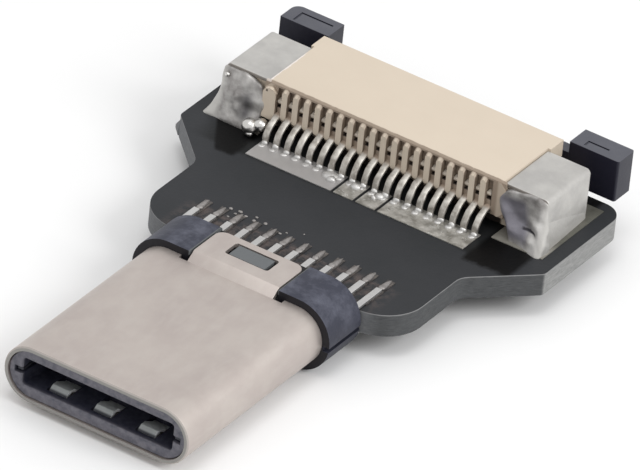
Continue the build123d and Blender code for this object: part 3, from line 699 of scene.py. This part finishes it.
left = bmesh.new()
left_front = (
    ((8.02, 18.50, 0.34), (7.30, 18.52, 0.34), (6.70, 18.50, 0.34), (6.10, 18.52, 0.34), (5.55, 18.60, 0.34)),
    ((7.58, 18.86, 0.90), (7.10, 18.78, 0.90), (6.60, 18.70, 0.92), (6.05, 18.74, 0.95), (5.48, 18.82, 0.95)),
    ((7.45, 19.02, 1.45), (7.00, 18.88, 1.45), (6.50, 18.78, 1.45), (5.95, 18.84, 1.45), (5.36, 18.92, 1.45)),
    ((7.42, 19.08, 1.90), (7.00, 18.96, 1.95), (6.50, 18.90, 1.98), (6.00, 18.93, 1.95), (5.36, 18.98, 1.88)),
    ((7.40, 19.14, 2.56), (7.00, 19.10, 2.56), (6.50, 19.08, 2.54), (6.10, 19.08, 2.50), (5.66, 19.10, 2.36)),
)
drape(left, left_front, 1, mass_back, -1)
swell(left, (-5.80, 18.8, 1.25), (0.50, 0.5, 0.36), -0.20)
swell(left, (-6.95, 19.12, 2.42), (0.12, 0.3, 0.11), -0.18)
swell(left, (-6.55, 18.8, 1.75), (0.45, 0.4, 0.34), 0.05)
swell(left, (-6.00, 18.8, 2.00), (0.30, 0.4, 0.20), -0.04)
rumple(left, lump=0.36, height=0.09)
rumple(left, lump=0.15, height=0.03)
seam(left, -1)

seam_from = (7.14, 7.35)
hollow_side = (5.9, 6.75)
hollow_height = (0.8, 2.1)
bead_hollow_height = (1.0, 1.7)
pit_side = (6.42, 6.98)
pit_height = (1.26, 1.32)
ridge_side = (6.9, 7.6)
ridge_top = (1.6, 2.4)
# the colour has painted shade in the hollows and a pit, and a painted highlight along the ridge
bracket_solder = Finish("bracket solder", Metallic=0.55)
across = bracket_solder.along("X")
high = bracket_solder.along("Z")
cloud = bracket_solder.noise(1.5, 4, 0.6)
flank = bracket_solder.away("X", *seam_from)
hollow = bracket_solder.band(across + 0.25 * high, *hollow_side, 0.35)
hollow = hollow * bracket_solder.band(high, *hollow_height, 0.3)
bead_hollow_shade = (1 - bracket_solder.between(across, -6.1, -5.7)) * bracket_solder.between(across, -6.5, -6.0)
bead_hollow_shade = bead_hollow_shade * bracket_solder.band(high, *bead_hollow_height, 0.3)
pit_shade = bracket_solder.band(high + 0.2 * cloud, *pit_height, 0.05)
pit_shade = pit_shade * bracket_solder.band(across, *pit_side, 0.12)
ridge_highlight = bracket_solder.band(across, *ridge_side, 0.2) * (1 - bracket_solder.between(high, *ridge_top))
lumps = bracket_solder.between(cloud, 0.3, 0.7)
lumpy = bracket_solder.blend(lumps, tone(122, 118, 116), tone(196, 194, 191))
hollow_shade_tone = bracket_solder.blend(cloud, tone(112, 110, 118), tone(148, 146, 154))
# painted shade in the hollow, and in the hollow above the beads
lumpy = bracket_solder.blend(hollow, lumpy, hollow_shade_tone)
lumpy = bracket_solder.blend(bead_hollow_shade, lumpy, tone(70, 69, 72))
# a painted highlight along the ridge
lumpy = bracket_solder.blend(ridge_highlight, lumpy, tone(204, 202, 199))
# painted shade in a pit
lumpy = bracket_solder.blend(pit_shade, lumpy, tone(62, 60, 66))
seam_tone = bracket_solder.blend(cloud, tone(180, 178, 174), tone(200, 198, 194))
bracket_solder.colour(bracket_solder.blend(flank, lumpy, seam_tone))
bracket_solder.roughness(0.34 + 0.2 * bracket_solder.noise(2.6, 3))
bracket_solder.bumps(bracket_solder.noise(4, 4), 0.02)
for shape, name in ((right, "right_bracket_solder"), (left, "left_bracket_solder")):
    bmesh.ops.scale(shape, vec=(MM, MM, MM), verts=shape.verts)
    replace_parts(set_out(name + "_formed", shape, bracket_solder, 60), name)

shiny = Finish("bright solder bead", Metallic=1.0)
shiny.colour(shiny.blend(shiny.noise(2, 2), tone(204, 202, 198), tone(226, 224, 221)))
shiny.roughness(0.24 + 0.08 * shiny.noise(3, 2))
bead_flatness = 0.95
bead_places = (
    ((-5.60, 18.52, 0.84), 0.34), ((-5.18, 18.60, 1.02), 0.28),
    ((-5.50, 18.36, 0.62), 0.15), ((-7.14, 19.06, 2.26), 0.11),
)
drops = bmesh.new()
for middle, size in bead_places:
    ball = Matrix.Translation(middle) @ Matrix.Diagonal((size, size, bead_flatness * size, 1))
    bmesh.ops.create_icosphere(drops, subdivisions=3, radius=1, matrix=ball)
bmesh.ops.scale(drops, vec=(MM, MM, MM), verts=drops.verts)
set_out("solder_beads", drops, shiny, 80)

# Slider
# Dark blue-grey moulding that slides in to lock the ribbon, and stands open here. Its ears are smooth, with
# softly broken edges, and a painted sheen lightens their tops and right sides.

slider_plastic = Finish("dark slider plastic", IOR=1.5, Specular_IOR_Level=0.25)
wear = slider_plastic.noise(1.4, 3)
# painted sheen on the faces turned up and to the right
painted_sheen = slider_plastic.between(slider_plastic.facing("Z") + 0.4 * slider_plastic.facing("X"), 0.3, 0.9)
wear_and_sheen = slider_plastic.blend(wear, tone(74, 75, 83), tone(90, 91, 98))
slider_plastic.colour(slider_plastic.blend(painted_sheen, tone(28, 28, 40), wear_and_sheen))
slider_plastic.roughness(0.36 + 0.12 * wear)
slider_plastic.bumps(slider_plastic.noise(7, 3), 0.005)
finished("slider", slider_plastic, edge=0.07, segments=3, body="slider")

# Stage
# A pale floor at the object's lowest level, even studio light from above and the right, and a long lens at
# the photograph's angle.

floor_reach = 0.6
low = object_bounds()[0][2]
sweep = bmesh.new()
bmesh.ops.create_grid(sweep, x_segments=1, y_segments=1, size=floor_reach)
bmesh.ops.translate(sweep, verts=sweep.verts, vec=(0, 0, low))
floor_mesh = bpy.data.meshes.new("floor")
sweep.to_mesh(floor_mesh)
sweep.free()
floor = bpy.data.objects.new("floor", floor_mesh)
bpy.context.scene.collection.objects.link(floor)
paper = Finish("pale floor", Roughness=0.8)
paper.colour(paper.blend(paper.noise(0.02, 2), (0.82, 0.82, 0.82, 1), (0.85, 0.85, 0.85, 1)))
floor_mesh.materials.append(paper.material)

world = bpy.data.worlds.new("studio")
world.use_nodes = True
world.node_tree.nodes["Background"].inputs["Color"].default_value = (1.0, 1.0, 1.0, 1)
world.node_tree.nodes["Background"].inputs["Strength"].default_value = 0.86
bpy.context.scene.world = world
bpy.context.scene.view_settings.view_transform = "Standard"

object_middle = Vector((0, 12, 0)) * MM
lamp_width = 90
for name, spot, power in (("key light", (150, 20, 120), 0.15), ("top light", (10, -30, 190), 0.07)):
    lamp = bpy.data.lights.new(name, "AREA")
    lamp.shape = "DISK"
    lamp.size = lamp_width * MM
    lamp.energy = power
    holder = bpy.data.objects.new(name, lamp)
    holder.location = Vector(spot) * MM
    holder.rotation_euler = (object_middle - holder.location).to_track_quat("-Z", "Y").to_euler()
    bpy.context.scene.collection.objects.link(holder)

viewpoint = (218.9975, -362.2515, 284.4338)
view_turn = (56.7457, -5.2115, 33.5426)
lens = bpy.data.cameras.new("camera")
lens.lens = 778.2
lens.sensor_width = 36
lens.clip_start = 0.05
lens.clip_end = 5
camera = bpy.data.objects.new("camera", lens)
camera.location = Vector(viewpoint) * MM
camera.rotation_euler = [radians(angle) for angle in view_turn]
bpy.context.scene.collection.objects.link(camera)
bpy.context.scene.camera = camera
